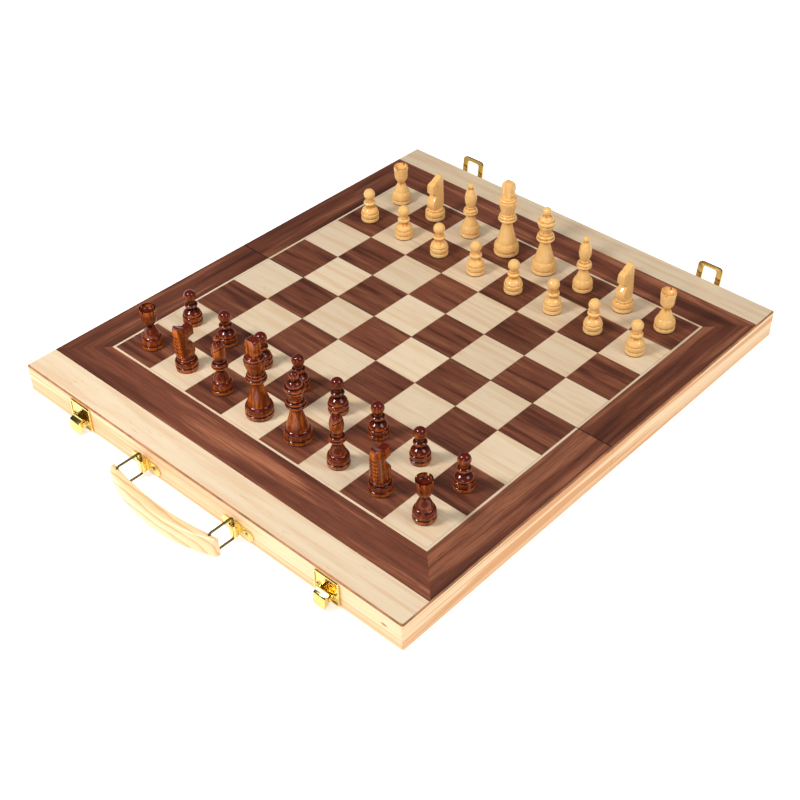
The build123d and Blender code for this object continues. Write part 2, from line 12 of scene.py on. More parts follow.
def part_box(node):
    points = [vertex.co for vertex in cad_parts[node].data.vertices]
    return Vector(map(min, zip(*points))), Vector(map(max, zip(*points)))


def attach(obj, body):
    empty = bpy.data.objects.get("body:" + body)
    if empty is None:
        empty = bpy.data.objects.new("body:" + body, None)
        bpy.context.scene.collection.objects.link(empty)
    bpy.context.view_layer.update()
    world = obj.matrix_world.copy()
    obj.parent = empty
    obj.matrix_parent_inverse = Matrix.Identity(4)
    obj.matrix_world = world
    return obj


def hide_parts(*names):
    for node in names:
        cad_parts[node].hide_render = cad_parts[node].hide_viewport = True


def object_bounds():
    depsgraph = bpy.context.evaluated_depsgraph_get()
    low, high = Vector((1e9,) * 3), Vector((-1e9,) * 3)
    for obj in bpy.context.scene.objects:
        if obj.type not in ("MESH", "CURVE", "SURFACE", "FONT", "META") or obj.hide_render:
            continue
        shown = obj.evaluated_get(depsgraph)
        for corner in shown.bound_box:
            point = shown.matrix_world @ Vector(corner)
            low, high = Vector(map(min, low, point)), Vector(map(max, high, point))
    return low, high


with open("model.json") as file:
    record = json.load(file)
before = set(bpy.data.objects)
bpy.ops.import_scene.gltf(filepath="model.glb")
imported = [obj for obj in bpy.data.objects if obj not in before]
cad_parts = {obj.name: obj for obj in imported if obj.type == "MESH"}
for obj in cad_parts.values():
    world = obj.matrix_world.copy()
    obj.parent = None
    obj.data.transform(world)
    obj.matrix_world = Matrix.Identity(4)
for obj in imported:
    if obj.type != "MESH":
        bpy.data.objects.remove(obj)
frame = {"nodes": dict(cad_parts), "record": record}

bl_info = {
    "name": "Folding chess set",
    "version": (1, 0, 0),
    "blender": (4, 5, 0),
    "location": "3D View > Sidebar > Chess",
    "description": "Finishes a folding chess case and turns its men",
    "category": "Object",
}

CAD_LOW, CAD_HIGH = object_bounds()
MM = 0.001

CAMERA_PLACE = (0.62684, -0.67406, 0.72894)
CAMERA_AIM = (-0.498, 0.5785, -0.646)
CAMERA_ROLL = 0.68
CAMERA_SHIFT = (-0.065, 0.006)
SENSOR_WIDTH = 36.0
FLOOR_HALF = 6.0
FLOOR_GLOW = 0.5
MIRRORED_SHARE = 0.15
SOFTBOXES = {
    "key": {"direction": (-0.264, -0.597, 0.728), "distance": 0.95, "size": 0.2},
    "fill": {"direction": (0.621, 0.147, 0.712), "distance": 1.7, "size": 0.7},
    "front": {"direction": (0.42, -0.8, 0.4), "distance": 1.9, "size": 0.9},
}


def middle(node):
    """Middle of a CAD node's box."""
    low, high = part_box(node)
    return (low + high) / 2


SQUARE = middle("dark_pawn_2").x - middle("dark_pawn_1").x
FIELD = 4 * SQUARE
CASE_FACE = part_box("near_handle_rail")[0].y
KNOT_X, KNOT_Z = 0.1945, 0.0145


def tone(red, green, blue):
    """A colour named by its display values from 0 to 255, as scene values."""
    share = [value / 255 for value in (red, green, blue)]
    return [v / 12.92 if v <= 0.04045 else ((v + 0.055) / 1.055) ** 2.4 for v in share]


# ---------------------------------------------------------------- settings

def colour(name, description, value):
    return FloatVectorProperty(name=name, description=description, default=value, subtype="COLOR",
                               min=0, max=1, size=3)


def share(name, description, value):
    return FloatProperty(name=name, description=description, default=value, min=0, max=1, subtype="FACTOR")


def length(name, description, value):
    return FloatProperty(name=name, description=description, default=value, min=0, unit="LENGTH", precision=5)


class CaseSettings(bpy.types.PropertyGroup):
    """Woods of the case and its playing surface."""
    walnut: colour("Walnut", "Middle tone of the dark veneer", tone(122, 68, 48))
    walnut_streak: colour("Walnut streak", "Darkest figure in the dark veneer", tone(80, 42, 30))
    walnut_light: colour("Walnut light band", "Light figure in the dark squares", tone(146, 92, 62))
    border_light: colour("Border light band", "Light figure in the dark border", tone(184, 116, 82))
    maple: colour("Maple", "Middle tone of the light veneer", tone(223, 199, 166))
    maple_streak: colour("Maple streak", "Warm lines in the light veneer", tone(206, 160, 112))
    maple_ray: colour("Maple ray", "Palest fibre in the light veneer", tone(244, 230, 204))
    maple_fleck: colour("Maple fleck", "Small flecks in the light veneer", tone(206, 140, 84))
    scorch: colour("Scorched joint", "Edges of the light leaves", tone(150, 92, 56))
    # Painted shade along the gap where the two halves meet, in both veneers.
    walnut_gap_shade: colour("Walnut seam", "Dark veneer where the halves meet", tone(34, 18, 12))
    maple_gap_shade: colour("Maple seam", "Light veneer where the halves meet", tone(60, 34, 22))
    pine: colour("Pine", "Pale wood of the rails", tone(242, 212, 168))
    pine_band: colour("Pine band", "Late-wood bands in the rails", tone(218, 156, 98))
    knot: colour("Knot", "Small knot near the right end of the long rails", tone(150, 86, 44))
    grip: colour("Grip", "Pale wood of the handle", tone(240, 208, 158))
    grip_ring: colour("Grip ring", "Growth rings of the handle", tone(200, 120, 62))
    grip_fibre: colour("Grip fibre", "Fibre of the handle", tone(226, 176, 116))
    edge: colour("Edge", "Stained bevel round the core board", tone(168, 112, 72))
    lining: colour("Lining", "Felt inside the trays", tone(22, 66, 44))
    sheen: share("Veneer roughness", "Roughness of the satin lacquer", 0.42)


class MenSettings(bpy.types.PropertyGroup):
    """Finish of the turned men."""
    # Also painted on the plinth band and step ring of the pale men, as painted light reflected from the
    # board.
    boxwood: colour("Boxwood", "Pale men", tone(252, 214, 150))
    boxwood_groove: colour("Boxwood groove", "Where the lacquer pools on the pale men", tone(206, 136, 62))
    # Painted shade on the upward faces of the pale men; also the deep part of their body tone.
    boxwood_deep_and_top_shade: colour("Boxwood top", "Upward faces of the pale men", tone(244, 192, 116))
    boxwood_streak: share("Boxwood streak", "Strength of the grain in the pale men", 0.5)
    # Also painted on the plinth band and step ring of the dark men, as painted light reflected from the
    # board.
    stain: colour("Stain", "Rubbed edges of the dark men", tone(208, 104, 24))
    stain_groove: colour("Stain groove", "Where the stain pools on the dark men", tone(24, 7, 4))
    # Painted shade on the upward faces of the dark men; also the deep part of their body tone.
    stain_deep_and_top_shade: colour("Stain top", "Upward faces of the dark men", tone(84, 11, 4))
    stain_streak: share("Stain streak", "Strength of the grain in the dark men", 0.65)
    felt: colour("Felt", "Pad under each man", tone(10, 34, 24))
    lacquer: share("Lacquer roughness", "Roughness of the clear coat", 0.09)


class MetalSettings(bpy.types.PropertyGroup):
    """Finish of the hinges, latches and handle wire."""
    brass: colour("Brass", "Polished brass plating", tone(232, 206, 128))
    wire: colour("Wire", "Duller brass of the handle wire", tone(112, 100, 48))
    edge: length("Edge round", "Radius on the edges of stamped parts", 0.22 * MM)


class StageSettings(bpy.types.PropertyGroup):
    """Floor, lights and camera."""
    key: FloatProperty(name="Key light", description="Softbox on the handle side", default=5.6, unit="POWER")
    fill: FloatProperty(name="Fill light", description="Softbox on the right", default=8.4, unit="POWER")
    front: FloatProperty(name="Front light", description="Low softbox in front", default=5.0, unit="POWER")
    ambient: FloatProperty(name="Ambient", description="Strength of the white surroundings", default=0.4)
    lens: FloatProperty(name="Lens", description="Focal length", default=61.02, subtype="DISTANCE_CAMERA")


# ---------------------------------------------------------------- shader trees

class Tree:
    """Places and links nodes in one node tree."""

    def __init__(self, tree):
        self.tree = tree

    def feed(self, socket, value):
        if isinstance(value, bpy.types.NodeSocket):
            self.tree.links.new(value, socket)
        elif socket.type == "RGBA" and len(value) == 3:
            socket.default_value = (*value, 1)
        else:
            socket.default_value = value

    def add(self, kind, inputs=(), **settings):
        node = self.tree.nodes.new(kind)
        for key, value in settings.items():
            setattr(node, key, value)
        for key, value in dict(inputs).items():
            self.feed(node.inputs[key], value)
        return node

    def math(self, operation, *values, clamp=False):
        node = self.add("ShaderNodeMath", operation=operation, use_clamp=clamp)
        for socket, value in zip(node.inputs, values):
            self.feed(socket, value)
        return node.outputs[0]

    def vector(self, operation, *values):
        node = self.add("ShaderNodeVectorMath", operation=operation)
        for socket, value in zip(node.inputs, values):
            self.feed(socket, value)
        return node.outputs[0]

    def noise(self, vector, scale, detail=2.0, roughness=0.5):
        inputs = {"Vector": vector, "Scale": scale, "Detail": detail, "Roughness": roughness}
        return self.add("ShaderNodeTexNoise", inputs).outputs["Fac"]

    def spread(self, value, low, high, to_low=0.0, to_high=1.0):
        """Stretches low..high over to_low..to_high, smoothly and clamped."""
        inputs = {"Value": value, "From Min": low, "From Max": high, "To Min": to_low, "To Max": to_high}
        return self.add("ShaderNodeMapRange", inputs, interpolation_type="SMOOTHSTEP").outputs["Result"]

    def mix(self, factor, first, second, blend="MIX"):
        node = self.add("ShaderNodeMix", data_type="RGBA", blend_type=blend)
        for index, value in ((0, factor), (6, first), (7, second)):
            self.feed(node.inputs[index], value)
        return node.outputs[2]

    def pick(self, factor, first, second):
        """First where factor is 0, second where it is 1."""
        node = self.add("ShaderNodeMix", data_type="FLOAT")
        for index, value in ((0, factor), (2, first), (3, second)):
            self.feed(node.inputs[index], value)
        return node.outputs[0]

    def split(self, vector):
        return self.add("ShaderNodeSeparateXYZ", {"Vector": vector}).outputs

    def join(self, x, y, z):
        return self.add("ShaderNodeCombineXYZ", {"X": x, "Y": y, "Z": z}).outputs[0]

    def bump(self, height, strength, distance):
        inputs = {"Height": height, "Strength": strength, "Distance": distance}
        return self.add("ShaderNodeBump", inputs).outputs["Normal"]


def group_tree(name, inputs, outputs):
    """An empty node group with named sockets, and its input sockets."""
    group = bpy.data.node_groups.new(name, "ShaderNodeTree")
    for socket, kind, value in inputs:
        made = group.interface.new_socket(name=socket, in_out="INPUT", socket_type="NodeSocket" + kind)
        if kind == "Float":
            made.default_value = value
    for socket in outputs:
        group.interface.new_socket(name=socket, in_out="OUTPUT", socket_type="NodeSocketFloat")
    tree = Tree(group)
    given = tree.add("NodeGroupInput").outputs
    wanted = tree.add("NodeGroupOutput").inputs
    return tree, given, wanted


def grain_group():
    """Wood figure along X: broad figure, fine fibre and short dark pores."""
    tree, given, wanted = group_tree(
        "wood_grain",
        [("Vector", "Vector", None), ("Along", "Float", 10.0), ("Across", "Float", 120.0),
         ("Warp", "Float", 1.0)],
        ["Figure", "Fibre", "Pores"])
    stretch = tree.join(given["Along"], given["Across"], given["Across"])
    place = tree.vector("MULTIPLY", given["Vector"], stretch)
    sway = tree.noise(place, 0.35, 1.0)
    sway = tree.math("MULTIPLY", tree.math("SUBTRACT", sway, 0.5), given["Warp"])
    place = tree.vector("ADD", place, tree.join(0.0, sway, sway))
    figure = tree.noise(place, 1.0, 3.0, 0.55)
    fibre = tree.noise(tree.vector("MULTIPLY", place, (1.6, 8.0, 8.0)), 1.0, 2.0, 0.6)
    pores = tree.noise(tree.vector("MULTIPLY", place, (7.0, 22.0, 22.0)), 1.0, 1.0)
    tree.feed(wanted["Figure"], tree.spread(figure, 0.28, 0.72))
    tree.feed(wanted["Fibre"], tree.spread(fibre, 0.3, 0.7))
    tree.feed(wanted["Pores"], tree.spread(pores, 0.62, 0.74))
    return tree.tree


def veneer_group():
    """Where a point of the playing surface lies: its grain place, its leaf's lot, and any joint near it."""
    tree, given, wanted = group_tree(
        "veneer_layout", [("Vector", "Vector", None), ("Square", "Float", SQUARE), ("Field", "Float", FIELD)],
        ["Along", "Across", "Deep", "Lot", "Border", "Joint", "Seam"])
    place = tree.split(given["Vector"])
    out_x, out_y = tree.math("ABSOLUTE", place["X"]), tree.math("ABSOLUTE", place["Y"])
    border = tree.math("GREATER_THAN", tree.math("MAXIMUM", out_x, out_y), given["Field"])
    side = tree.math("MULTIPLY", border, tree.math("GREATER_THAN", out_x, out_y))
    column = tree.math("FLOOR", tree.math("DIVIDE", place["X"], given["Square"]))
    row = tree.math("FLOOR", tree.math("DIVIDE", place["Y"], given["Square"]))
    strip = tree.math("MULTIPLY", tree.math("SIGN", place["X"]), side)
    lot_x = tree.pick(border, column, tree.math("ADD", strip, 20.0))
    lot_y = tree.pick(border, row, tree.math("ADD", tree.math("SIGN", place["Y"]), 40.0))
    lot = tree.add("ShaderNodeTexWhiteNoise", {"Vector": tree.join(lot_x, lot_y, 3.0)}, noise_dimensions="3D")
    chance = tree.split(lot.outputs["Color"])
    along = tree.pick(side, place["X"], place["Y"])
    across = tree.pick(side, place["Y"], place["X"])
    tree.feed(wanted["Along"], tree.math("ADD", along, chance["X"]))
    tree.feed(wanted["Across"], tree.math("ADD", across, chance["Y"]))
    tree.feed(wanted["Deep"], chance["Z"])
    tree.feed(wanted["Lot"], lot.outputs["Value"])
    tree.feed(wanted["Border"], border)
    # Painted shade: darkest at the gap between the halves, fading out a millimetre away.
    tree.feed(wanted["Seam"], tree.spread(out_y, 0.0002, 0.001, 1.0, 0.0))
    near_x = tree.math("PINGPONG", place["X"], tree.math("MULTIPLY", given["Square"], 0.5))
    near_y = tree.math("PINGPONG", place["Y"], tree.math("MULTIPLY", given["Square"], 0.5))
    joint = tree.spread(tree.math("MINIMUM", near_x, near_y), 0.0, 0.0009, 1.0, 0.0)
    tree.feed(wanted["Joint"], tree.math("MULTIPLY", joint, tree.math("SUBTRACT", 1.0, border)))
    return tree.tree


def wear_group():
    """Soft blotches and fine scratches that vary a finish."""
    tree, given, wanted = group_tree(
        "handling", [("Vector", "Vector", None), ("Scale", "Float", 60.0)], ["Blotch", "Scratch"])
    blotch = tree.noise(given["Vector"], given["Scale"], 3.0, 0.6)
    streak = tree.vector("MULTIPLY", given["Vector"], (1.0, 9.0, 9.0))
    scratch = tree.noise(streak, tree.math("MULTIPLY", given["Scale"], 6.0), 2.0)
    tree.feed(wanted["Blotch"], tree.spread(blotch, 0.3, 0.7))
    tree.feed(wanted["Scratch"], tree.spread(scratch, 0.3, 0.7))
    return tree.tree


GROUPS = {"grain": grain_group, "veneer": veneer_group, "handling": wear_group}


def use_group(tree, name, inputs):
    """A placed copy of one of the shared groups, made the first time it is wanted."""
    maker = GROUPS[name]
    if callable(maker):
        GROUPS[name] = maker()
    node = tree.add("ShaderNodeGroup")
    node.node_tree = GROUPS[name]
    for key, value in inputs.items():
        tree.feed(node.inputs[key], value)
    return node.outputs


def material(name):
    """A new material, its tree, its shader and its object coordinates."""
    made = bpy.data.materials.new(name)
    made.use_nodes = True
    made.node_tree.nodes.clear()
    tree = Tree(made.node_tree)
    shader = tree.add("ShaderNodeBsdfPrincipled")
    tree.add("ShaderNodeOutputMaterial", {"Surface": shader.outputs[0]})
    place = tree.add("ShaderNodeTexCoord").outputs["Object"]
    return made, tree, shader, place


# ---------------------------------------------------------------- finishes

def scaled(value, factor):
    return [channel * factor for channel in value]


def walnut_finish(settings):
    """Walnut leaves: streaked, each with its own figure and tone, the border broader in figure."""
    made, tree, shader, place = material("walnut_veneer")
    leaf = use_group(tree, "veneer", {"Vector": place})
    spot = tree.join(leaf["Along"], leaf["Across"], leaf["Deep"])
    grain = use_group(tree, "grain", {"Vector": spot, "Along": 11.0, "Across": 130.0, "Warp": 1.6})
    wide = use_group(tree, "grain", {"Vector": spot, "Along": 5.0, "Across": 75.0, "Warp": 1.4})
    figure = tree.pick(leaf["Border"], grain["Figure"], wide["Figure"])
    base = tree.mix(tree.spread(figure, 0.0, 0.5), settings.walnut_streak, settings.walnut)
    light = tree.mix(leaf["Border"], settings.walnut_light, settings.border_light)
    base = tree.mix(tree.spread(figure, 0.55, 1.0, 0.0, 0.75), base, light)
    base = tree.mix(tree.math("MULTIPLY", grain["Fibre"], 0.55), base, settings.walnut_streak)
    base = tree.mix(tree.math("MULTIPLY", grain["Pores"], 0.6), base, scaled(settings.walnut_streak, 0.35))
    lift = tree.spread(leaf["Lot"], 0.0, 1.0, 0.86, 1.15)
    base = tree.mix(1.0, base, tree.join(lift, lift, lift), "MULTIPLY")
    # Painted shade along the gap between the halves.
    base = tree.mix(tree.math("MULTIPLY", leaf["Seam"], 0.75), base, settings.walnut_gap_shade)
    tree.feed(shader.inputs["Base Color"], base)
    rough = tree.spread(grain["Fibre"], 0.0, 1.0, settings.sheen - 0.06, settings.sheen + 0.1)
    tree.feed(shader.inputs["Roughness"], rough)
    tree.feed(shader.inputs["Normal"], tree.bump(grain["Fibre"], 0.12, 0.0002))
    shader.inputs["Specular IOR Level"].default_value = 0.3
    shader.inputs["Coat Weight"].default_value = 0.12
    shader.inputs["Coat Roughness"].default_value = 0.2
    return made


def maple_finish(settings):
    """Maple leaves: pale and even, with faint warm lines and a scorched edge at each joint."""
    made, tree, shader, place = material("maple_veneer")
    leaf = use_group(tree, "veneer", {"Vector": place})
    spot = tree.join(leaf["Along"], leaf["Across"], leaf["Deep"])
    grain = use_group(tree, "grain", {"Vector": spot, "Along": 9.0, "Across": 150.0, "Warp": 1.8})
    base = tree.mix(tree.spread(grain["Figure"], 0.3, 1.0, 0.0, 0.42), settings.maple, settings.maple_streak)
    base = tree.mix(tree.math("MULTIPLY", grain["Fibre"], 0.22), base, settings.maple_ray)
    fleck = tree.noise(tree.vector("MULTIPLY", spot, (90.0, 700.0, 90.0)), 1.0, 1.0)
    base = tree.mix(tree.spread(fleck, 0.7, 0.8, 0.0, 0.5), base, settings.maple_fleck)
    lift = tree.spread(leaf["Lot"], 0.0, 1.0, 0.93, 1.03)
    base = tree.mix(1.0, base, tree.join(lift, lift, lift), "MULTIPLY")
    base = tree.mix(tree.math("MULTIPLY", leaf["Joint"], 0.4), base, settings.scorch)
    # Painted shade along the gap between the halves.
    base = tree.mix(tree.math("MULTIPLY", leaf["Seam"], 0.6), base, settings.maple_gap_shade)
    tree.feed(shader.inputs["Base Color"], base)
    rough = tree.spread(grain["Fibre"], 0.0, 1.0, settings.sheen - 0.05, settings.sheen + 0.08)
    tree.feed(shader.inputs["Roughness"], rough)
    tree.feed(shader.inputs["Normal"], tree.bump(grain["Fibre"], 0.07, 0.0002))
    shader.inputs["Coat Weight"].default_value = 0.25
    shader.inputs["Coat Roughness"].default_value = 0.22
    return made


def pine_finish(name, settings, across_x, depth):
    """Pine rails with late-wood bands as strong as depth; across_x lays the grain along Y."""
    made, tree, shader, place = material(name)
    axes = tree.split(place)
    spot = tree.join(axes["Y"], axes["X"], axes["Z"]) if across_x else place
    grain = use_group(tree, "grain", {"Vector": spot, "Along": 3.2, "Across": 210.0, "Warp": 2.4})
    fine = use_group(tree, "grain", {"Vector": spot, "Along": 6.0, "Across": 520.0, "Warp": 1.0})
    base = tree.mix(tree.spread(grain["Figure"], 0.45, 0.72, 0.0, depth), settings.pine, settings.pine_band)
    base = tree.mix(tree.math("MULTIPLY", fine["Figure"], 0.3), base, settings.pine_band)
    # Darker towards the bottom of each rail: mixed toward the band colour over the lowest eleven millimetres.
    low = tree.spread(axes["Z"], 0.002, 0.011, 0.5 * depth, 0.0)
    base = tree.mix(low, base, settings.pine_band)
    from_knot = tree.vector("SUBTRACT", place, (KNOT_X, CASE_FACE, KNOT_Z))
    knot = tree.vector("MULTIPLY", from_knot, (260.0, 0.0, 620.0))
    reach = tree.add("ShaderNodeVectorMath", {0: knot}, operation="LENGTH").outputs["Value"]
    base = tree.mix(tree.spread(reach, 0.5, 1.0, 0.8, 0.0), base, settings.knot)
    tree.feed(shader.inputs["Base Color"], base)
    tree.feed(shader.inputs["Roughness"], tree.spread(fine["Fibre"], 0.0, 1.0, 0.42, 0.58))
    tree.feed(shader.inputs["Normal"], tree.bump(fine["Fibre"], 0.1, 0.0002))
    return made


def grip_finish(settings):
    """Sawn pale wood: growth rings cut by the bow of the grip, so that they close into long ovals."""
    made, tree, shader, place = material("grip_wood")
    low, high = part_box("handle_grip")
    heart = tree.vector("SUBTRACT", place, ((low.x + high.x) / 2 - 0.02, low.y - 0.03, low.z - 0.012))
    sway = tree.noise(tree.vector("MULTIPLY", place, (22.0, 60.0, 60.0)), 1.0, 2.0)
    drift = tree.join(0.0, tree.math("MULTIPLY", sway, 0.006), tree.math("MULTIPLY", sway, 0.004))
    bent = tree.vector("ADD", heart, drift)
    flat = tree.vector("MULTIPLY", bent, (0.1, 1.0, 1.0))
    radius = tree.add("ShaderNodeVectorMath", {0: flat}, operation="LENGTH").outputs["Value"]
    ring = tree.math("FRACT", tree.math("MULTIPLY", radius, 190.0))
    band = tree.math("POWER", ring, 5.0)
    grain = use_group(tree, "grain", {"Vector": place, "Along": 14.0, "Across": 400.0, "Warp": 1.0})
    base = tree.mix(tree.math("MULTIPLY", band, 0.9), settings.grip, settings.grip_ring)
    base = tree.mix(tree.math("MULTIPLY", grain["Fibre"], 0.25), base, settings.grip_fibre)
    tree.feed(shader.inputs["Base Color"], base)
    tree.feed(shader.inputs["Roughness"], tree.spread(grain["Fibre"], 0.0, 1.0, 0.35, 0.5))
    tree.feed(shader.inputs["Normal"], tree.bump(grain["Fibre"], 0.08, 0.0002))
    shader.inputs["Coat Weight"].default_value = 0.2
    shader.inputs["Coat Roughness"].default_value = 0.25
    return made


def edge_finish(settings):
    """Core board, of which only the stained bevel shows."""
    made, tree, shader, place = material("stained_edge")
    wear = use_group(tree, "handling", {"Vector": place, "Scale": 45.0})
    base = tree.mix(wear["Blotch"], scaled(settings.edge, 0.62), scaled(settings.edge, 1.3))
    tree.feed(shader.inputs["Base Color"], base)
    tree.feed(shader.inputs["Roughness"], tree.spread(wear["Scratch"], 0.0, 1.0, 0.45, 0.62))
    return made


def felt_finish(name, value):
    """Short wool felt."""
    made, tree, shader, place = material(name)
    nap = tree.noise(place, 2600.0, 3.0, 0.7)
    cloud = tree.noise(place, 90.0, 2.0)
    base = tree.mix(tree.spread(nap, 0.3, 0.7), scaled(value, 0.5), scaled(value, 1.5))
    base = tree.mix(tree.spread(cloud, 0.3, 0.7, 0.0, 0.4), base, scaled(value, 0.7))
    tree.feed(shader.inputs["Base Color"], base)
    tree.feed(shader.inputs["Roughness"], tree.spread(nap, 0.2, 0.8, 0.85, 1.0))
    tree.feed(shader.inputs["Normal"], tree.bump(nap, 0.6, 0.0004))
    shader.inputs["Sheen Weight"].default_value = 0.35
    return made


def metal_finish(name, value, roughness):
    """Brass with thin spots in its shine."""
    made, tree, shader, place = material(name)
    wear = use_group(tree, "handling", {"Vector": place, "Scale": 70.0})
    base = tree.mix(tree.math("MULTIPLY", wear["Blotch"], 0.35), value, scaled(value, 0.75))
    tree.feed(shader.inputs["Base Color"], base)
    rough = tree.spread(wear["Scratch"], 0.0, 1.0, roughness * 0.7, roughness * 1.5)
    tree.feed(shader.inputs["Roughness"], rough)
    tree.feed(shader.inputs["Normal"], tree.bump(wear["Blotch"], 0.05, 0.0003))
    shader.inputs["Metallic"].default_value = 1.0
    return made


def man_finish(name, ridge, groove, deep_and_top_shade, streak, lacquer):
    """Lacquered turned wood: dark in the grooves, bright on rubbed edges and on bands of painted light
    reflected from the board, darker on upward faces as painted shade.
    """
    made, tree, shader, place = material(name)
    rub = tree.add("ShaderNodeAttribute", attribute_name="rub").outputs["Fac"]
    top = tree.add("ShaderNodeAttribute", attribute_name="top").outputs["Fac"]
    turn = {"Vector": place, "Rotation": (0.0, math.radians(90), 0.0)}
    upright = tree.add("ShaderNodeMapping", turn).outputs[0]
    grain = use_group(tree, "grain", {"Vector": upright, "Along": 30.0, "Across": 420.0, "Warp": 1.6})
    cloud = tree.noise(place, 70.0, 2.0)
    level = tree.math("ADD", rub, tree.math("MULTIPLY", tree.math("SUBTRACT", grain["Figure"], 0.5), streak))
    level = tree.math("ADD", level, tree.math("MULTIPLY", tree.math("SUBTRACT", cloud, 0.5), streak))
    even = [0.25 * a + 0.75 * b for a, b in zip(ridge, deep_and_top_shade)]
    base = tree.mix(tree.spread(level, 0.6, 1.05), even, ridge)
    base = tree.mix(tree.math("MULTIPLY", grain["Fibre"], streak * 0.6), base, groove)
    # Painted shade: upward faces are darkened toward the deep colour, so the side and lower faces stay
    # lighter, as though lit by light from the board.
    base = tree.mix(tree.spread(top, 0.05, 0.65, 0.0, 0.9), base, deep_and_top_shade)
    base = tree.mix(tree.spread(level, 0.0, 0.42, 1.0, 0.0), base, groove)
    tree.feed(shader.inputs["Base Color"], base)
    tree.feed(shader.inputs["Roughness"], tree.spread(grain["Fibre"], 0.0, 1.0, 0.4, 0.6))
    tree.feed(shader.inputs["Normal"], tree.bump(grain["Fibre"], 0.05, 0.0002))
    tree.feed(shader.inputs["Coat Weight"], tree.spread(rub, 0.1, 0.5, 0.1, 0.8))
    shader.inputs["Specular IOR Level"].default_value = 0.06
    shader.inputs["Coat Roughness"].default_value = lacquer
    return made


FINISHES = {}


def finish(name, maker, *values):
    """A finish by name, made the first time it is wanted."""
    if name not in FINISHES:
        FINISHES[name] = maker(*values)
    return FINISHES[name]


def coat(node, made):
    """Gives a CAD node its finish."""
    piece = frame["nodes"][node]
    if not piece.material_slots:
        piece.data.materials.append(made)
    for slot in piece.material_slots:
        slot.material = made


# ---------------------------------------------------------------- pieces

# Heights of the plinth band and the step ring, which get painted light reflected from the board.
PLINTH_TOP = 4.0
STEP = (11.4, 12.5)


def add_piece(name, bm, made, body, slot, crisp=None):
    """Turns a bmesh into a piece that rides on a body; crisp is the angle past which an edge stays sharp."""
    bmesh.ops.recalc_face_normals(bm, faces=bm.faces[:])
    mesh = bpy.data.meshes.new(name)
    bm.to_mesh(mesh)
    bm.free()
    mesh.shade_smooth()
    if crisp is not None:
        mesh.set_sharp_from_angle(angle=math.radians(crisp))
    mesh.materials.append(made)
    piece = bpy.data.objects.new(name, mesh)
    bpy.context.scene.collection.objects.link(piece)
    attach(piece, body)
    return piece


def body_of(node):
    """The body that a CAD node belongs to."""
    groups = frame["record"]["behaviour"]["bodies"]
    return next(body for body, nodes in groups.items() if node in nodes)


def rounded_copy(node, made, edge):
    """A stamped or bent part with its sharp edges rounded."""
    bm = bmesh.new()
    bm.from_mesh(frame["nodes"][node].data)
    bmesh.ops.remove_doubles(bm, verts=bm.verts[:], dist=0.002 * MM)
    bmesh.ops.dissolve_limit(bm, angle_limit=math.radians(0.6), verts=bm.verts[:], edges=bm.edges[:])
    sharp = [e for e in bm.edges if e.is_manifold and e.calc_face_angle() > math.radians(40)]
    bmesh.ops.bevel(bm, geom=sharp, offset=edge, offset_type="OFFSET", segments=2, profile=0.5,
                    affect="EDGES", material=-1, clamp_overlap=True)
    piece = add_piece(node.replace("_and_pins", "") + "_finished", bm, made, body_of(node), "brass", 30)
    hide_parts(node)
    return piece


def arc(centre, radius, start, end, steps):
    """Outline points round a circle on the axis; angles are above the horizontal, in degrees."""
    angles = [math.radians(start + (end - start) * i / steps) for i in range(steps + 1)]
    return [(radius * math.cos(a), centre + radius * math.sin(a)) for a in angles]


def spun(outline, segments=24):
    """A closed turned form from (radius, height) points in millimetres, from axis to axis."""
    bm = bmesh.new()
    points = [bm.verts.new((radius * MM, 0, height * MM)) for radius, height in outline]
    edges = [bm.edges.new(pair) for pair in zip(points, points[1:])]
    bmesh.ops.spin(bm, geom=points + edges, cent=(0, 0, 0), axis=(0, 0, 1), angle=2 * math.pi,
                   steps=segments, use_merge=True)
    bmesh.ops.remove_doubles(bm, verts=bm.verts[:], dist=0.01 * MM)
    return bm


def rub_and_reflection_levels(outline):
    """How rubbed each outline point is: 0 in a narrow groove, 0.5 on a bulge, 1 on a ridge; the plinth band
    and the step ring are raised further as painted light reflected from the board.
    """
    levels = {}
    for before, here, after in zip(outline, outline[1:], outline[2:]):
        hollow = (before[0] + after[0]) / 2 - here[0]
        reach = math.dist(before, after)
        narrow = min(1.0, 1.5 / reach) ** 2
        level = 0.52 - 2.5 * narrow * hollow + 0.08 * min(3.0, max(0.0, reach - 3.2))
        # Painted reflected light: the plinth band and the step ring are lifted toward the ridge colour.
        if here[1] < PLINTH_TOP or STEP[0] < here[1] < STEP[1]:
            level += 0.3
        levels[(round(here[0], 2), round(here[1], 2))] = min(1.0, max(0.0, level))
    return levels


def mark(bm, level):
    """Stores on every point its rub level from a function of its place (rubbing, and painted light reflected
    from the board on some bands), and how far it faces up, from which the finish paints shade on upward
    faces.
    """
    bmesh.ops.recalc_face_normals(bm, faces=bm.faces[:])
    bm.normal_update()
    rub = bm.verts.layers.float.new("rub")
    top = bm.verts.layers.float.new("top")
    for vert in bm.verts:
        vert[rub] = level(vert.co / MM)
        # How far each point faces up, used for the painted shade on upward faces.
        vert[top] = max(0.0, vert.normal.z)


def foot(r):
    """Outline of a plinth of radius r with the groove above it."""
    return [(0, 0.6), (r - 1.0, 0.6), (r - 0.25, 0.75), (r, 1.3), (r, 3.4), (r - 0.25, 3.9), (r - 0.85, 4.15),
            (r - 1.0, 4.45), (r - 0.85, 4.75), (r - 0.3, 5.0), (r - 0.05, 5.6)]


def bell(r):
    """Outline of a foot whose upper ring is a broad bulge with a step above it."""
    return foot(r) + [(r, 7.0), (r - 0.25, 8.6), (r - 0.7, 10.0), (r - 1.4, 11.3), (r - 1.9, 11.8),
                      (r - 2.3, 12.0), (r - 2.4, 12.3)]


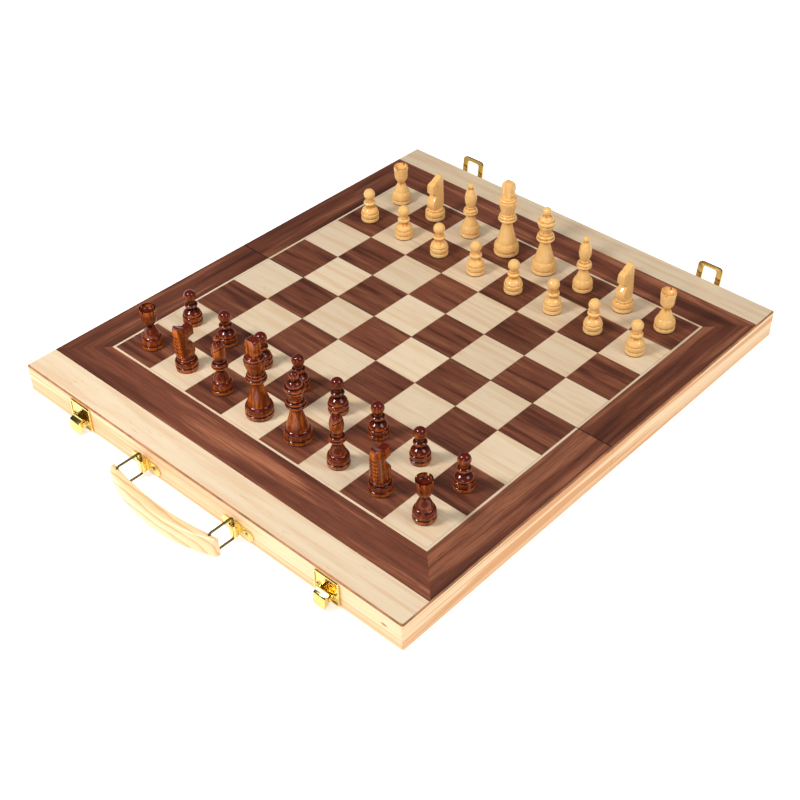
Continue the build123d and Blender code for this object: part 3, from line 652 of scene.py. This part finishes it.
def pawn_outline():
    return foot(8.6) + [(8.6, 6.6), (8.6, 8.0), (8.35, 8.7), (7.7, 9.0), (7.55, 9.3), (7.7, 9.6),
                        (7.9, 10.1), (7.6, 11.2), (6.8, 12.5), (5.6, 13.5), (4.4, 14.3), (3.75, 15.1),
                        (3.6, 15.8), (3.7, 16.4), (4.4, 17.0), (5.4, 17.9), (5.8, 18.8), (5.75, 19.6),
                        (5.1, 20.3), (4.2, 20.8), (3.75, 21.2), (3.7, 21.7)] + arc(27.7, 5.5, -48, 90, 10)


def rook_outline():
    return bell(9.3) + [(6.7, 12.9), (6.4, 14.2), (5.7, 16.0), (4.8, 18.0), (4.0, 19.8), (3.55, 21.0),
                        (3.5, 21.9), (3.9, 23.0), (4.9, 24.4), (5.8, 25.8), (6.25, 27.3), (6.4, 29.0),
                        (6.45, 30.8), (6.35, 31.2), (6.45, 31.6), (6.6, 33.6), (6.75, 36.2), (6.78, 36.5),
                        (5.75, 36.5), (5.7, 36.3), (5.2, 35.6), (4.4, 34.8), (0, 34.2)]


def bishop_outline():
    return bell(9.3) + [(6.7, 13.2), (6.1, 14.8), (5.3, 16.6), (4.4, 18.6), (3.8, 20.2), (3.65, 21.4),
                        (3.8, 22.4), (4.6, 23.2), (5.9, 23.8), (6.8, 24.6), (7.0, 25.4), (6.8, 26.1),
                        (6.3, 26.45), (6.2, 26.75), (6.4, 27.1), (6.5, 27.8), (6.1, 28.6), (5.2, 29.1),
                        (4.5, 29.4), (4.3, 29.8), (4.5, 30.3), (4.6, 30.8), (4.3, 31.3), (4.15, 31.7),
                        (4.3, 32.4), (4.9, 34.0), (5.5, 36.4), (5.8, 39.0), (5.75, 41.6), (5.3, 44.2),
                        (4.5, 46.6), (3.5, 48.6), (2.7, 49.6), (2.2, 49.9), (2.1, 50.3)] \
        + arc(52.5, 2.8, -36, 90, 7)


def queen_outline():
    return bell(11.7) + [(9.2, 13.0), (8.8, 14.8), (7.9, 17.8), (6.8, 21.4), (5.7, 25.2), (4.9, 28.6),
                         (4.6, 31.0), (4.9, 31.9), (6.2, 32.5), (7.7, 33.3), (8.5, 34.4), (8.4, 35.5),
                         (7.6, 36.1), (7.2, 36.4), (7.3, 36.8), (7.7, 37.4), (7.75, 38.2), (7.1, 39.0),
                         (6.2, 39.4), (5.9, 39.8), (6.0, 40.4), (5.7, 41.2), (5.6, 42.6), (5.9, 44.4),
                         (6.6, 46.2), (7.2, 47.4), (7.3, 48.2), (7.0, 48.7), (6.95, 49.0), (7.4, 49.5),
                         (8.2, 50.4), (8.6, 51.4), (8.4, 52.4), (7.6, 53.0), (6.8, 53.3), (6.5, 53.6),
                         (6.6, 54.2), (6.3, 55.4), (5.4, 56.8), (4.2, 57.8), (3.3, 58.2), (3.0, 58.5),
                         (3.0, 58.9)] + arc(62.2, 4.1, -42, 90, 8)


def king_outline():
    return bell(11.8) + [(9.3, 13.0), (9.0, 14.6), (8.3, 17.2), (7.3, 20.8), (6.3, 24.4), (5.4, 28.0),
                         (4.85, 31.4), (4.8, 33.0), (5.3, 33.9), (6.9, 34.6), (8.3, 35.5), (8.9, 36.6),
                         (8.6, 37.6), (7.9, 38.0), (7.7, 38.3), (7.8, 38.7), (8.1, 39.3), (7.9, 40.2),
                         (7.2, 40.7), (6.9, 41.0), (6.8, 41.3), (7.0, 41.8), (6.8, 42.5), (6.4, 42.9),
                         (6.3, 43.4), (6.6, 45.0), (7.3, 47.6), (8.1, 50.4), (8.7, 53.0), (8.9, 54.8),
                         (8.6, 55.9), (8.1, 56.2), (8.0, 56.5), (8.2, 57.0), (8.0, 57.8), (7.2, 58.4),
                         (6.6, 58.7), (6.4, 59.0), (5.6, 59.6), (0, 59.9)]


def knight_foot_outline():
    return foot(9.7) + [(9.7, 6.8), (9.5, 8.3), (8.9, 9.5), (8.1, 10.1), (7.8, 10.3), (7.7, 10.6),
                        (7.9, 11.0), (7.6, 11.7), (6.7, 12.1), (0, 12.1)]


def turned_man(outline):
    """A turned form with its rub levels."""
    bm = spun(outline)
    levels = rub_and_reflection_levels(outline)
    mark(bm, lambda place: levels.get((round(math.hypot(place.x, place.y), 2), round(place.z, 2)), 0.5))
    return bm


def rook_form():
    """Rook: a hollow turret whose thin rim is cut by four notches."""
    outline = rook_outline()
    segments, rim, wall, scorch = 48, 36.5, 2.0, 0.7
    bm = spun(outline, segments)
    flat = [f for f in bm.faces if all(abs(v.co.z - rim * MM) < 0.01 * MM for v in f.verts)]
    turn = 2 * math.pi / segments
    standing = []
    for face in flat:
        spot = face.calc_center_median()
        step = math.floor(math.atan2(spot.y, spot.x) / turn) % (segments // 4)
        if step not in (1, 2):
            standing.append(face)
    for rise in (wall, scorch):
        raised = bmesh.ops.extrude_face_region(bm, geom=standing)
        bmesh.ops.delete(bm, geom=standing, context="FACES_ONLY")
        standing = [f for f in raised["geom"] if isinstance(f, bmesh.types.BMFace)]
        tops = [v for v in raised["geom"] if isinstance(v, bmesh.types.BMVert)]
        bmesh.ops.translate(bm, verts=tops, vec=(0, 0, rise * MM))
    levels = rub_and_reflection_levels(outline)

    def level(place):
        if place.z > rim + wall + 0.1:
            return 0.0
        if place.z > rim - 2.5:
            return 0.8
        return levels.get((round(math.hypot(place.x, place.y), 2), round(place.z, 2)), 0.5)

    mark(bm, level)
    crease = bm.edges.layers.float.new("crease_edge")
    for edge in bm.edges:
        high = min(v.co.z for v in edge.verts) > (rim - 0.1) * MM
        if high and edge.is_manifold and edge.calc_face_angle() > math.radians(30):
            edge[crease] = 0.8
    return bm


def subdivided(bm, levels):
    """The smooth form that a coarse one stands for."""
    mesh = bpy.data.meshes.new("coarse")
    bm.to_mesh(mesh)
    bm.free()
    spare = bpy.data.objects.new("coarse", mesh)
    bpy.context.scene.collection.objects.link(spare)
    smooth(spare, levels)
    result = bmesh.new()
    result.from_object(spare, bpy.context.evaluated_depsgraph_get())
    bpy.data.objects.remove(spare)
    bpy.data.meshes.remove(mesh)
    return result


def bishop_form():
    """Bishop: an egg-shaped head with a saw cut slanting into one side, and a ball on top."""
    bm = subdivided(turned_man(bishop_outline()), 2)
    slope = math.radians(38)
    along = Vector((math.cos(slope), 0, math.sin(slope)))
    across = Vector((-math.sin(slope), 0, math.cos(slope)))
    centre = Vector((4.6, 0, 44.6)) * MM
    half, reach = 0.4 * MM, 4.5 * MM
    cuts = {"roof": (centre + across * half, across), "floor": (centre - across * half, across),
            "end": (centre - along * reach, along)}
    for spot, normal in cuts.values():
        near = [f for f in bm.faces if abs(f.calc_center_median().z - centre.z) < 6.0 * MM]
        geom = {g for f in near for g in (f, *f.edges, *f.verts)}
        bmesh.ops.bisect_plane(bm, geom=list(geom), dist=0.0001 * MM, plane_co=spot, plane_no=normal)

    def inside(face):
        offset = face.calc_center_median() - centre
        return abs(offset.dot(across)) < half and offset.dot(along) > -reach

    bmesh.ops.delete(bm, geom=[f for f in bm.faces if inside(f)], context="FACES")
    rims = {}
    for name, (spot, normal) in cuts.items():
        rims[name] = [e for e in bm.edges if e.is_boundary
                      and all(abs((v.co - spot).dot(normal)) < 0.002 * MM for v in e.verts)]
    chords = []
    for name in ("roof", "floor"):
        points = [v for e in rims[name] for v in e.verts]
        ends = [v for v in set(points) if points.count(v) == 1]
        chords.append(bm.edges.new(ends))
        bmesh.ops.edgeloop_fill(bm, edges=rims[name] + chords[-1:])
    bmesh.ops.edgeloop_fill(bm, edges=rims["end"] + chords)
    return bm


def prism_form(points, low, high, axis):
    """A straight prism over an outline in the plane across the axis ("X" or "Y"), in millimetres."""
    bm = bmesh.new()
    if axis == "X":
        verts = [bm.verts.new((low * MM, a * MM, b * MM)) for a, b in points]
        step = Vector(((high - low) * MM, 0, 0))
    else:
        verts = [bm.verts.new((a * MM, low * MM, b * MM)) for a, b in points]
        step = Vector((0, (high - low) * MM, 0))
    face = bm.faces.new(verts)
    raised = bmesh.ops.extrude_face_region(bm, geom=[face], use_keep_orig=True)
    moved = [v for v in raised["geom"] if isinstance(v, bmesh.types.BMVert)]
    bmesh.ops.translate(bm, verts=moved, vec=step)
    return bm


def king_form():
    """King: a goblet under a carved block."""
    points = [(-4.2, 59.0), (4.2, 59.0), (5.5, 62.8), (5.4, 64.2), (4.6, 65.2), (4.6, 66.0), (5.7, 67.4),
              (5.8, 69.0), (5.4, 71.6), (4.6, 73.4), (3.2, 74.3), (-3.2, 74.3), (-4.6, 73.4),
              (-5.4, 71.6), (-5.8, 69.0), (-5.7, 67.4), (-4.6, 66.0), (-4.6, 65.2), (-5.4, 64.2),
              (-5.5, 62.8)]
    block = prism_form(points, -3.4, 3.4, "Y")
    bmesh.ops.recalc_face_normals(block, faces=block.faces[:])
    long_edges = [e for e in block.edges if e.calc_face_angle(0) > math.radians(60)]
    bmesh.ops.bevel(block, geom=long_edges, offset=0.45 * MM, offset_type="OFFSET", segments=3, profile=0.5,
                    affect="EDGES", material=-1, clamp_overlap=True)
    mark(block, lambda place: 0.8)
    return turned_man(king_outline()), block


MUZZLES = {
    "dark": [(0.6, 41.2), (1.2, 39.6), (2.4, 39.8), (7.9, 41.2), (8.8, 40.6), (9.2, 37.0), (9.1, 33.0),
             (8.5, 32.0), (5.4, 31.9), (3.2, 31.2), (1.9, 30.0), (2.2, 28.8), (4.4, 26.6), (7.2, 24.0),
             (8.5, 21.4), (8.5, 18.6), (7.4, 14.8), (5.9, 11.0)],
    "white": [(1.3, 41.0), (1.7, 39.9), (2.8, 40.2), (6.6, 38.6), (7.6, 37.8), (8.0, 34.0), (7.8, 29.8),
              (7.0, 28.9), (5.0, 28.4), (3.4, 27.4), (2.8, 26.0), (3.6, 24.4), (5.6, 22.4), (7.8, 20.0),
              (8.5, 17.4), (8.0, 14.6), (6.4, 11.0)],
}


def knight_head(colour):
    """Knight's head: a sawn slab, round in plan at the chest and the mane, with cuts across the mane."""
    back = [(-6.4, 11.0), (-7.6, 14.6)]
    for step in range(6):
        height = 17.0 + 3.6 * step
        back += [(-8.2, height - 0.5), (-7.3, height), (-8.25, height + 0.4)]
    ear = [(-8.2, 39.0), (-8.0, 41.8), (-7.2, 44.2), (-5.6, 44.5), (-4.2, 43.6), (-2.4, 42.6)]
    half, waist, taper, rounding = 5.4, 5.2, 0.42, 9.0
    neck, rise = 11.0, 33.0
    eye, eye_radius = Vector((0, 1.0, 36.0)), 0.7
    bm = prism_form(back + ear + MUZZLES[colour], -half, half, "X")
    across = [e for e in bm.edges if abs(e.verts[0].co.x - e.verts[1].co.x) > half * MM]
    bmesh.ops.subdivide_edges(bm, edges=across, cuts=7, use_grid_fill=True)
    for vert in bm.verts:
        x, y, z = vert.co / MM
        x *= waist / half * (1.0 - taper * (z - neck) / rise)
        y *= math.sqrt(max(0.0, 1.0 - (x / rounding) ** 2))
        vert.co = Vector((x, y, z)) * MM
    bmesh.ops.recalc_face_normals(bm, faces=bm.faces[:])
    rim = [e for e in bm.edges if e.is_manifold and e.calc_face_angle() > math.radians(50)
           and abs(e.verts[0].co.x - e.verts[1].co.x) < 0.6 * MM]
    bmesh.ops.bevel(bm, geom=rim, offset=0.25 * MM, offset_type="OFFSET", segments=2, profile=0.5,
                    affect="EDGES", material=-1, clamp_overlap=True)

    across_head = Matrix.Translation(eye * MM) @ Matrix.Rotation(math.radians(90), 4, "Y")
    bmesh.ops.create_cone(bm, cap_ends=True, segments=12, radius1=eye_radius * MM, radius2=eye_radius * MM,
                          depth=7.3 * MM, matrix=across_head)

    def level(place):
        if (place - eye).yz.length < eye_radius + 0.2:
            return 0.0
        depth = place.y / math.sqrt(1.0 - (place.x / rounding) ** 2)
        if -7.75 < depth < -6.9 and 16 < place.z < 36:
            return 0.0
        return 0.95 if depth < -6.9 else 0.55

    mark(bm, level)
    return bm


def colours_of(node, men):
    """The finish and slot of a man by its name."""
    if node.startswith("white"):
        made = finish("boxwood", man_finish, "boxwood", men.boxwood, men.boxwood_groove, men.boxwood_deep_and_top_shade,
                      men.boxwood_streak, men.lacquer)
        return made, "boxwood"
    made = finish("stained", man_finish, "stained_wood", men.stain, men.stain_groove, men.stain_deep_and_top_shade,
                  men.stain_streak, men.lacquer)
    return made, "stained_wood"


def stand(bm, node):
    """Turns and moves a form onto the square of its CAD node."""
    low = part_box(node)[0]
    spot = middle(node)
    turn = math.pi if node.startswith("white") else 0.0
    place = Matrix.Translation((spot.x, spot.y, low.z)) @ Matrix.Rotation(turn, 4, "Z")
    bmesh.ops.transform(bm, matrix=place, verts=bm.verts[:])


def smooth(piece, levels):
    modifier = piece.modifiers.new("Smooth", "SUBSURF")
    modifier.levels = levels
    modifier.render_levels = levels


def pad_under(node, men):
    """Felt pad under a man."""
    low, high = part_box(node)
    r = (high.x - low.x) / 2 / MM - 0.5
    bm = spun([(0, 0), (r - 0.2, 0), (r, 0.15), (r, 0.5), (r - 0.1, 0.62), (0, 0.62)], 48)
    stand(bm, node)
    made = finish("felt_pad", felt_finish, "pad_felt", men.felt)
    return add_piece(node + "_felt", bm, made, body_of(node), "lining_felt", 40)


def make_men(context, kind, maker, ready=False):
    """Every man of one kind with its pad; the maker gives a turned form and perhaps a carved one."""
    men = context.scene.chess_men
    for node in sorted(n for n in frame["nodes"] if kind in n.split("_")):
        made, slot = colours_of(node, men)
        forms = maker(node.split("_")[0])
        for name, bm in zip((node + "_turned", node + "_carved"), forms):
            stand(bm, node)
            crisp = 32 if ready or name.endswith("_carved") else None
            piece = add_piece(name, bm, made, body_of(node), slot, crisp)
            if crisp is None:
                smooth(piece, 2)
            if name.endswith("_turned"):
                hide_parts(node)
        pad_under(node, men)


# ---------------------------------------------------------------- operators

class StageOperator(bpy.types.Operator):
    """Lays the white floor, hangs the lights and sets the camera"""
    bl_idname = "chess.stage"
    bl_label = "Stage"

    def execute(self, context):
        settings = context.scene.chess_stage
        scene = context.scene
        scene.view_settings.view_transform = "Standard"
        self.floor()
        self.surroundings(scene, settings)
        for name, placing in SOFTBOXES.items():
            self.softbox(name + "_light", power=getattr(settings, name), **placing)
        self.camera(scene, settings)
        return {"FINISHED"}

    def floor(self):
        bm = bmesh.new()
        bmesh.ops.create_grid(bm, x_segments=1, y_segments=1, size=FLOOR_HALF)
        bmesh.ops.translate(bm, verts=bm.verts[:], vec=(0, 0, CAD_LOW.z))
        mesh = bpy.data.meshes.new("floor")
        bm.to_mesh(mesh)
        bm.free()
        made, tree, shader, place = material("paper")
        tone_of_paper = tree.noise(place, 3.0)
        base = tree.mix(tree.spread(tone_of_paper, 0.3, 0.7), (0.9, 0.9, 0.9), (0.93, 0.93, 0.93))
        tree.feed(shader.inputs["Base Color"], base)
        tree.feed(shader.inputs["Emission Color"], (1.0, 1.0, 1.0))
        shader.inputs["Emission Strength"].default_value = FLOOR_GLOW
        shader.inputs["Roughness"].default_value = 1.0
        mesh.materials.append(made)
        floor = bpy.data.objects.new("floor", mesh)
        bpy.context.scene.collection.objects.link(floor)

    def surroundings(self, scene, settings):
        world = bpy.data.worlds.new("studio")
        world.use_nodes = True
        tree = Tree(world.node_tree)
        back = world.node_tree.nodes["Background"]
        mirrored = tree.add("ShaderNodeLightPath").outputs["Is Glossy Ray"]
        tree.feed(back.inputs["Color"], (1.0, 1.0, 1.0))
        dimmed = MIRRORED_SHARE * settings.ambient
        tree.feed(back.inputs["Strength"], tree.pick(mirrored, settings.ambient, dimmed))
        scene.world = world

    def softbox(self, name, direction, distance, size, power):
        data = bpy.data.lights.new(name, "AREA")
        data.shape = "SQUARE"
        data.size = size
        data.energy = power
        lamp = bpy.data.objects.new(name, data)
        bpy.context.scene.collection.objects.link(lamp)
        way = Vector(direction).normalized()
        lamp.location = way * distance
        lamp.rotation_mode = "QUATERNION"
        lamp.rotation_quaternion = way.to_track_quat("Z", "Y")

    def camera(self, scene, settings):
        data = bpy.data.cameras.new("camera")
        data.lens = settings.lens
        data.sensor_width = SENSOR_WIDTH
        data.shift_x, data.shift_y = CAMERA_SHIFT
        camera = bpy.data.objects.new("camera", data)
        scene.collection.objects.link(camera)
        camera.location = CAMERA_PLACE
        aim = Vector(CAMERA_AIM).to_track_quat("-Z", "Y")
        roll = Matrix.Rotation(math.radians(CAMERA_ROLL), 4, "Z").to_quaternion()
        camera.rotation_mode = "QUATERNION"
        camera.rotation_quaternion = aim @ roll
        scene.camera = camera


class BoardOperator(bpy.types.Operator):
    """Finishes the rails, the core boards and the veneered playing surface"""
    bl_idname = "chess.board"
    bl_label = "Case and board"

    def execute(self, context):
        settings = context.scene.chess_case
        long_pine = pine_finish("pine_long", settings, False, 0.6)
        side_pine = pine_finish("pine_side", settings, True, 1.0)
        walnut, maple = walnut_finish(settings), maple_finish(settings)
        edge = edge_finish(settings)
        for node in ("near_handle_rail", "far_latch_rail", "near_hinge_rail", "far_hinge_rail"):
            coat(node, long_pine)
        for half in ("near", "far"):
            coat(half + "_side_rails", side_pine)
            coat(half + "_walnut_veneer", walnut)
            coat(half + "_maple_veneer", maple)
            coat(half + "_panel", edge)
        return {"FINISHED"}


class LiningOperator(bpy.types.Operator):
    """Finishes the felt inside both trays"""
    bl_idname = "chess.linings"
    bl_label = "Tray linings"

    def execute(self, context):
        made = felt_finish("tray_felt", context.scene.chess_case.lining)
        for half in ("near", "far"):
            coat(half + "_felt_lining", made)
        return {"FINISHED"}


def brass(metal):
    return finish("brass", metal_finish, "polished_brass", metal.brass, 0.16)


class HingeOperator(bpy.types.Operator):
    """Finishes the fold hinges and all screws"""
    bl_idname = "chess.hinges"
    bl_label = "Hinges and screws"

    def execute(self, context):
        made = brass(context.scene.chess_metal)
        for node in ("near_hinge_leaves_and_pins", "far_hinge_leaves", "near_screws", "far_screws"):
            coat(node, made)
        return {"FINISHED"}


class LatchOperator(bpy.types.Operator):
    """Makes the latch plates, levers, loop plates and loops"""
    bl_idname = "chess.latches"
    bl_label = "Latches"

    def execute(self, context):
        metal = context.scene.chess_metal
        nodes = ["latch_plates_and_pins", "loop_plates"]
        nodes += [f"{side}_latch_{part}" for side in ("left", "right") for part in ("lever", "loop")]
        for node in nodes:
            rounded_copy(node, brass(metal), metal.edge)
        return {"FINISHED"}


class HandleOperator(bpy.types.Operator):
    """Makes the handle's brackets, bails and grip"""
    bl_idname = "chess.handle"
    bl_label = "Handle"

    def execute(self, context):
        metal = context.scene.chess_metal
        rounded_copy("handle_brackets", brass(metal), metal.edge)
        wire = metal_finish("brass_wire", metal.wire, 0.24)
        for side in ("left", "right"):
            coat(side + "_handle_bail", wire)
        coat("handle_grip", grip_finish(context.scene.chess_case))
        return {"FINISHED"}


class PawnOperator(bpy.types.Operator):
    """Turns the sixteen pawns"""
    bl_idname = "chess.pawns"
    bl_label = "Pawns"

    def execute(self, context):
        make_men(context, "pawn", lambda colour: [turned_man(pawn_outline())])
        return {"FINISHED"}


class RookOperator(bpy.types.Operator):
    """Turns the four rooks and cuts their rims"""
    bl_idname = "chess.rooks"
    bl_label = "Rooks"

    def execute(self, context):
        make_men(context, "rook", lambda colour: [rook_form()])
        return {"FINISHED"}


class KnightOperator(bpy.types.Operator):
    """Turns the feet and carves the heads of the four knights"""
    bl_idname = "chess.knights"
    bl_label = "Knights"

    def execute(self, context):
        make_men(context, "knight", lambda colour: (turned_man(knight_foot_outline()), knight_head(colour)))
        return {"FINISHED"}


class BishopOperator(bpy.types.Operator):
    """Turns the four bishops"""
    bl_idname = "chess.bishops"
    bl_label = "Bishops"

    def execute(self, context):
        make_men(context, "bishop", lambda colour: [bishop_form()], ready=True)
        return {"FINISHED"}


class QueenOperator(bpy.types.Operator):
    """Turns the two queens"""
    bl_idname = "chess.queens"
    bl_label = "Queens"

    def execute(self, context):
        make_men(context, "queen", lambda colour: [turned_man(queen_outline())])
        return {"FINISHED"}


class KingOperator(bpy.types.Operator):
    """Turns the two kings and carves their blocks"""
    bl_idname = "chess.kings"
    bl_label = "Kings"

    def execute(self, context):
        make_men(context, "king", lambda colour: king_form())
        return {"FINISHED"}


OPERATORS = (StageOperator, BoardOperator, LiningOperator, HingeOperator, LatchOperator, HandleOperator,
             PawnOperator, RookOperator, KnightOperator, BishopOperator, QueenOperator, KingOperator)
SETTINGS = {"chess_case": CaseSettings, "chess_men": MenSettings, "chess_metal": MetalSettings,
            "chess_stage": StageSettings}


class ChessPanel(bpy.types.Panel):
    """Lists the settings and the operators"""
    bl_idname = "VIEW3D_PT_chess"
    bl_label = "Chess set"
    bl_space_type = "VIEW_3D"
    bl_region_type = "UI"
    bl_category = "Chess"

    def draw(self, context):
        for operator in OPERATORS:
            self.layout.operator(operator.bl_idname)
        for name, kind in SETTINGS.items():
            box = self.layout.box()
            for setting in kind.__annotations__:
                box.prop(getattr(context.scene, name), setting)


def register():
    for kind in (*SETTINGS.values(), *OPERATORS, ChessPanel):
        bpy.utils.register_class(kind)
    for name, kind in SETTINGS.items():
        setattr(bpy.types.Scene, name, PointerProperty(type=kind))


def unregister():
    for name in SETTINGS:
        delattr(bpy.types.Scene, name)
    for kind in reversed((*SETTINGS.values(), *OPERATORS, ChessPanel)):
        bpy.utils.unregister_class(kind)


def main():
    register()
    for operator in OPERATORS:
        group, name = operator.bl_idname.split(".")
        getattr(getattr(bpy.ops, group), name)()


if __name__ == "__main__":
    main()
